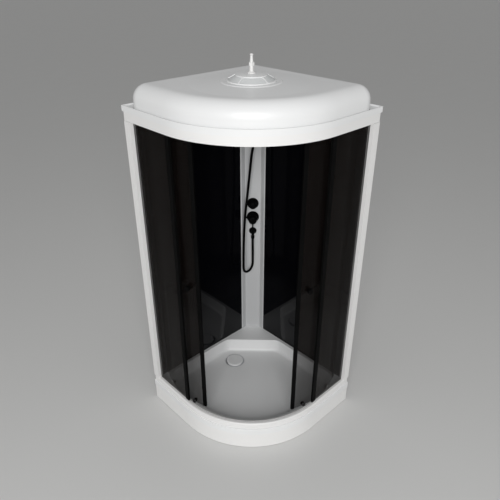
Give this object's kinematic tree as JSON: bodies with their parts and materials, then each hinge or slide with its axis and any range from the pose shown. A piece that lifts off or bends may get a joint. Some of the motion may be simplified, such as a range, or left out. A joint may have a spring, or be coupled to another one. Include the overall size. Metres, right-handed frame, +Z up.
{
  "type": "shower cabin",
  "caption": "Quarter-round corner shower cabin with curved sliding glass doors, a tray, a domed roof with an overhead shower, and a mixer with a hand shower.",
  "frame": {"origin": "floor point under the centre of the square footprint", "axes": "+Z up; the room's walls stand at +X and +Y; the round front faces -X and -Y, and the cabin is seen from between -X and -Y"},
  "size_m": [0.9, 0.9, 2.1759],
  "materials": {
    "white_acrylic": "gloss white moulding",
    "white_profile": "white powder coat",
    "tinted_glass": "dark grey tinted, polished",
    "black_glass": "black backed, polished",
    "black_seal": "satin black",
    "zinc_steel": "zinc plated",
    "black_plastic": "matt black",
    "chrome": "polished chrome",
    "brass": "cast and machined",
    "black_paint": "satin black",
    "black_hose": "smooth black",
    "wheel_nylon": "moulded nylon",
    "grey_plastic": "light grey moulding",
    "frosted_plastic": "frosted light grey",
    "steel_fitting": "satin steel"
  },
  "bodies": {
    "cabin": {"apron": "white_acrylic", "apron_brackets": "zinc_steel", "bottom_rail": "white_profile", "corner_column": "white_profile", "dish_cap": "grey_plastic", "dish_frame": "grey_plastic", "dish_panel": "frosted_plastic", "diverter_plate": "black_paint", "drain_flange": "chrome", "drain_trap": "black_plastic", "foot_pads": "black_plastic", "foot_studs": "zinc_steel", "frame_tube_back": "zinc_steel", "frame_tube_front": "zinc_steel", "frame_tube_side": "zinc_steel", "hand_shower_holder": "black_paint", "hose_outlet": "black_paint", "inlet_barb": "steel_fitting", "inlet_nut": "steel_fitting", "inlet_stem": "steel_fitting", "left_back_panel": "black_glass", "left_edge_seal": "black_seal", "left_fixed_glass": "tinted_glass", "left_wall_profile": "white_profile", "mixer_body": "brass", "mixer_plate": "black_paint", "outlet_nut": "black_paint", "rain_head": "black_plastic", "right_back_panel": "black_glass", "right_edge_seal": "black_seal", "right_fixed_glass": "tinted_glass", "right_wall_profile": "white_profile", "roof": "white_acrylic", "shower_hose": "black_hose", "top_rail": "white_profile", "tray": "white_acrylic"},
    "left_door": {"left_door_glass": "tinted_glass", "left_door_front_seal": "black_seal", "left_door_rear_seal": "black_seal", "left_door_knob": "black_paint", "left_door_carriers": "chrome"},
    "left_top_wheel_front_body": {"left_top_wheel_front": "wheel_nylon"},
    "left_top_wheel_rear_body": {"left_top_wheel_rear": "wheel_nylon"},
    "left_bottom_wheel_front_body": {"left_bottom_wheel_front": "wheel_nylon"},
    "left_bottom_wheel_rear_body": {"left_bottom_wheel_rear": "wheel_nylon"},
    "right_door": {"right_door_glass": "tinted_glass", "right_door_front_seal": "black_seal", "right_door_rear_seal": "black_seal", "right_door_knob": "black_paint", "right_door_carriers": "chrome"},
    "right_top_wheel_front_body": {"right_top_wheel_front": "wheel_nylon"},
    "right_top_wheel_rear_body": {"right_top_wheel_rear": "wheel_nylon"},
    "right_bottom_wheel_front_body": {"right_bottom_wheel_front": "wheel_nylon"},
    "right_bottom_wheel_rear_body": {"right_bottom_wheel_rear": "wheel_nylon"},
    "mixer_collar_body": {"mixer_collar": "black_paint"},
    "mixer_lever_body": {"mixer_lever": "black_paint"},
    "diverter_body": {"diverter_knob": "black_paint"},
    "hand_shower_body": {"hand_shower": "black_paint", "handset_nut": "black_paint"},
    "drain_cover_body": {"drain_cover": "chrome"}
  },
  "joints": [
    {"name": "left_door_slide_round", "type": "hinge", "parent": "cabin", "child": "left_door", "pos_m": [0.36457, 0.18713, 1.02], "axis": [0, 0, 1], "range_deg": [0, 21.91]},
    {"name": "left_top_wheel_front_spin", "type": "hinge", "parent": "left_door", "child": "left_top_wheel_front_body", "pos_m": [-0.41279, 0.08762, 1.8823], "axis": [-0.9735, -0.2288, 0], "continuous": true},
    {"name": "left_bottom_wheel_front_spin", "type": "hinge", "parent": "left_door", "child": "left_bottom_wheel_front_body", "pos_m": [-0.39771, 0.09117, 0.1803], "axis": [-0.9735, -0.2288, 0], "continuous": true},
    {"name": "left_top_wheel_rear_spin", "type": "hinge", "parent": "left_door", "child": "left_top_wheel_rear_body", "pos_m": [-0.41279, 0.32238, 1.8823], "axis": [-0.9735, 0.2288, 0], "continuous": true},
    {"name": "left_bottom_wheel_rear_spin", "type": "hinge", "parent": "left_door", "child": "left_bottom_wheel_rear_body", "pos_m": [-0.39771, 0.31883, 0.1803], "axis": [-0.9735, 0.2288, 0], "continuous": true},
    {"name": "right_door_slide_round", "type": "hinge", "parent": "cabin", "child": "right_door", "pos_m": [0.18713, 0.36457, 1.02], "axis": [0, 0, -1], "range_deg": [-1.85, 20.06]},
    {"name": "right_top_wheel_front_spin", "type": "hinge", "parent": "right_door", "child": "right_top_wheel_front_body", "pos_m": [0.06258, -0.40918, 1.8823], "axis": [-0.2601, -0.9656, 0], "continuous": true},
    {"name": "right_bottom_wheel_front_spin", "type": "hinge", "parent": "right_door", "child": "right_bottom_wheel_front_body", "pos_m": [0.06661, -0.39421, 0.1803], "axis": [-0.2601, -0.9656, 0], "continuous": true},
    {"name": "right_top_wheel_rear_spin", "type": "hinge", "parent": "right_door", "child": "right_top_wheel_rear_body", "pos_m": [0.29721, -0.41676, 1.8823], "axis": [0.1973, -0.9804, 0], "continuous": true},
    {"name": "right_bottom_wheel_rear_spin", "type": "hinge", "parent": "right_door", "child": "right_bottom_wheel_rear_body", "pos_m": [0.29415, -0.40156, 0.1803], "axis": [0.1973, -0.9804, 0], "continuous": true},
    {"name": "mixer_turn", "type": "hinge", "parent": "cabin", "child": "mixer_collar_body", "pos_m": [0.4017, 0.4017, 1.063], "axis": [-0.7071, -0.7071, 0], "range_deg": [-50, 50]},
    {"name": "mixer_lift", "type": "hinge", "parent": "mixer_collar_body", "child": "mixer_lever_body", "pos_m": [0.38756, 0.38756, 1.063], "axis": [-0.7071, 0.7071, 0], "range_deg": [0, 20]},
    {"name": "diverter_turn", "type": "hinge", "parent": "cabin", "child": "diverter_body", "pos_m": [0.4017, 0.4017, 1.161], "axis": [-0.7071, -0.7071, 0], "range_deg": [-90, 90]},
    {"name": "hand_shower_lift", "type": "slide", "parent": "cabin", "child": "hand_shower_body", "axis": [0, 0, 1], "range_m": [0, 0.03]},
    {"name": "drain_cover_lift", "type": "slide", "parent": "cabin", "child": "drain_cover_body", "axis": [0, 0, 1], "range_m": [0, 0.025]}
  ],
  "couplings": [
    {"joint": "left_top_wheel_front_spin", "follows": "left_door_slide_round", "ratio": -70.865},
    {"joint": "left_bottom_wheel_front_spin", "follows": "left_door_slide_round", "ratio": -63.668},
    {"joint": "left_top_wheel_rear_spin", "follows": "left_door_slide_round", "ratio": -71.608},
    {"joint": "left_bottom_wheel_rear_spin", "follows": "left_door_slide_round", "ratio": -64.349},
    {"joint": "right_top_wheel_front_spin", "follows": "right_door_slide_round", "ratio": 70.865},
    {"joint": "right_bottom_wheel_front_spin", "follows": "right_door_slide_round", "ratio": 63.668},
    {"joint": "right_top_wheel_rear_spin", "follows": "right_door_slide_round", "ratio": 71.608},
    {"joint": "right_bottom_wheel_rear_spin", "follows": "right_door_slide_round", "ratio": 64.349}
  ]
}
